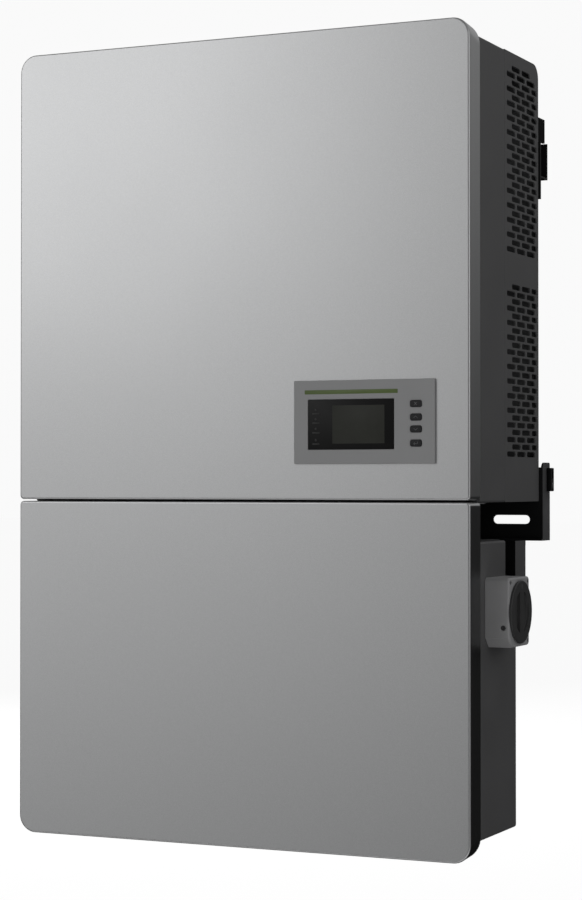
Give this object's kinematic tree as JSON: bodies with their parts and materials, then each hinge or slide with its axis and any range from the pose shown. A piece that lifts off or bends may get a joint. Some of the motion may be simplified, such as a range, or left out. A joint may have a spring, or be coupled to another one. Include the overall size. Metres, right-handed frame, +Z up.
{
  "type": "string inverter",
  "caption": "Wall-hung string inverter: silver front covers, dark enclosure with rear cooling duct, lower wiring box with side disconnects, display with keys, black bracket.",
  "frame": {"origin": "on the rear face of the wall bracket's top rail, at its centre, which is the wall plane", "axes": "+Z up, +Y into the wall, front faces -Y, +X to the viewer's right"},
  "size_m": [0.6714, 0.2897, 0.985],
  "materials": {
    "cover_paint": "satin",
    "box_paint": "satin",
    "hook_paint": "satin",
    "bracket_paint": "satin",
    "bolt_black": "satin",
    "panel_plastic": "satin",
    "window_plastic": "gloss",
    "display_electronics": "satin",
    "key_plastic": "satin",
    "gasket_rubber": "matte",
    "heat_sink_aluminium": "satin",
    "fan_plastic": "satin",
    "circuit_board": "satin",
    "capacitor_sleeve": "satin",
    "module_black": "satin",
    "inductor_housing": "satin",
    "ribbon_plastic": "satin",
    "switch_base_plastic": "satin",
    "knob_plastic": "satin",
    "shaft_steel": "satin",
    "switch_body_plastic": "satin",
    "fuse_body_plastic": "satin",
    "lever_plastic": "satin",
    "cartridge_plastic": "satin",
    "terminal_plastic": "satin",
    "ground_copper": "satin"
  },
  "bodies": {
    "chassis": {"upper_cover": "cover_paint", "main_enclosure": "box_paint", "wiring_box": "box_paint", "duct_side_left": "box_paint", "duct_side_right": "box_paint", "duct_rear_cover": "box_paint", "fan_tray": "box_paint", "hook_plate_left": "hook_paint", "hook_plate_right": "hook_paint", "bracket_upper_rail": "bracket_paint", "bracket_lower_plate": "bracket_paint", "bracket_upright_left": "bracket_paint", "bracket_upright_right": "bracket_paint", "securing_bolt_left": "bolt_black", "securing_bolt_right": "bolt_black", "display_panel": "panel_plastic", "display_window": "window_plastic", "lcd_module": "display_electronics", "upper_cover_gasket": "gasket_rubber", "neck_gasket": "gasket_rubber", "heat_sink": "heat_sink_aluminium", "fan_frame_1": "fan_plastic", "fan_frame_2": "fan_plastic", "fan_frame_3": "fan_plastic", "internal_fan_frame": "fan_plastic", "control_board": "circuit_board", "power_board": "circuit_board", "capacitor_bank": "capacitor_sleeve", "power_modules": "module_black", "boost_inductors": "inductor_housing", "ac_inductors": "inductor_housing", "ribbon_cable": "ribbon_plastic", "ac_switch_base": "switch_base_plastic", "dc_switch_base": "switch_base_plastic", "ac_switch_body": "switch_body_plastic", "dc_switch_body": "switch_body_plastic", "dc_fuse_block": "fuse_body_plastic", "surge_base": "fuse_body_plastic", "ac_terminal_block": "terminal_plastic", "ground_bar": "ground_copper"},
    "wiring_cover": {"lower_cover": "cover_paint", "lower_cover_gasket": "gasket_rubber"},
    "key_esc": {"key_esc": "key_plastic"},
    "key_up": {"key_up": "key_plastic"},
    "key_down": {"key_down": "key_plastic"},
    "key_enter": {"key_enter": "key_plastic"},
    "ac_switch": {"ac_switch_knob": "knob_plastic", "ac_switch_shaft": "shaft_steel"},
    "dc_switch": {"dc_switch_knob": "knob_plastic", "dc_switch_shaft": "shaft_steel"},
    "fan_1": {"fan_rotor_1": "fan_plastic"},
    "fan_2": {"fan_rotor_2": "fan_plastic"},
    "fan_3": {"fan_rotor_3": "fan_plastic"},
    "internal_fan": {"internal_fan_rotor": "fan_plastic"},
    "lever_1": {"fuse_lever_1": "lever_plastic"},
    "lever_2": {"fuse_lever_2": "lever_plastic"},
    "lever_3": {"fuse_lever_3": "lever_plastic"},
    "lever_4": {"fuse_lever_4": "lever_plastic"},
    "cartridge": {"surge_cartridge": "cartridge_plastic"}
  },
  "joints": [
    {"name": "wiring_cover_lift_off", "type": "slide", "parent": "chassis", "child": "wiring_cover", "axis": [0, -1, 0], "range_m": [0, 0.25]},
    {"name": "key_esc_press", "type": "slide", "parent": "chassis", "child": "key_esc", "axis": [0, 1, 0], "range_m": [0, 0.0008], "stiffness_N_per_m": 500, "springref_m": -0.0008},
    {"name": "key_up_press", "type": "slide", "parent": "chassis", "child": "key_up", "axis": [0, 1, 0], "range_m": [0, 0.0008], "stiffness_N_per_m": 500, "springref_m": -0.0008},
    {"name": "key_down_press", "type": "slide", "parent": "chassis", "child": "key_down", "axis": [0, 1, 0], "range_m": [0, 0.0008], "stiffness_N_per_m": 500, "springref_m": -0.0008},
    {"name": "key_enter_press", "type": "slide", "parent": "chassis", "child": "key_enter", "axis": [0, 1, 0], "range_m": [0, 0.0008], "stiffness_N_per_m": 500, "springref_m": -0.0008},
    {"name": "ac_switch_turn", "type": "hinge", "parent": "chassis", "child": "ac_switch", "pos_m": [0.336, -0.1935, -0.562], "axis": [1, 0, 0], "range_deg": [0, 90]},
    {"name": "dc_switch_turn", "type": "hinge", "parent": "chassis", "child": "dc_switch", "pos_m": [-0.336, -0.1935, -0.562], "axis": [-1, 0, 0], "range_deg": [0, 90]},
    {"name": "fan_1_spin", "type": "hinge", "parent": "chassis", "child": "fan_1", "pos_m": [-0.185, -0.0962, -0.41], "axis": [0, 0, 1], "continuous": true},
    {"name": "fan_2_spin", "type": "hinge", "parent": "chassis", "child": "fan_2", "pos_m": [0, -0.0962, -0.41], "axis": [0, 0, 1], "continuous": true},
    {"name": "fan_3_spin", "type": "hinge", "parent": "chassis", "child": "fan_3", "pos_m": [0.185, -0.0962, -0.41], "axis": [0, 0, 1], "continuous": true},
    {"name": "internal_fan_spin", "type": "hinge", "parent": "chassis", "child": "internal_fan", "pos_m": [-0.225, -0.195, -0.358], "axis": [0, 1, 0], "continuous": true},
    {"name": "lever_1_open", "type": "hinge", "parent": "chassis", "child": "lever_1", "pos_m": [-0.196, -0.1676, -0.686], "axis": [1, 0, 0], "range_deg": [0, 75]},
    {"name": "lever_2_open", "type": "hinge", "parent": "chassis", "child": "lever_2", "pos_m": [-0.178, -0.1676, -0.686], "axis": [1, 0, 0], "range_deg": [0, 75]},
    {"name": "lever_3_open", "type": "hinge", "parent": "chassis", "child": "lever_3", "pos_m": [-0.16, -0.1676, -0.686], "axis": [1, 0, 0], "range_deg": [0, 75]},
    {"name": "lever_4_open", "type": "hinge", "parent": "chassis", "child": "lever_4", "pos_m": [-0.142, -0.1676, -0.686], "axis": [1, 0, 0], "range_deg": [0, 75]},
    {"name": "cartridge_pull", "type": "slide", "parent": "chassis", "child": "cartridge", "axis": [0, -1, 0], "range_m": [0, 0.03]}
  ]
}
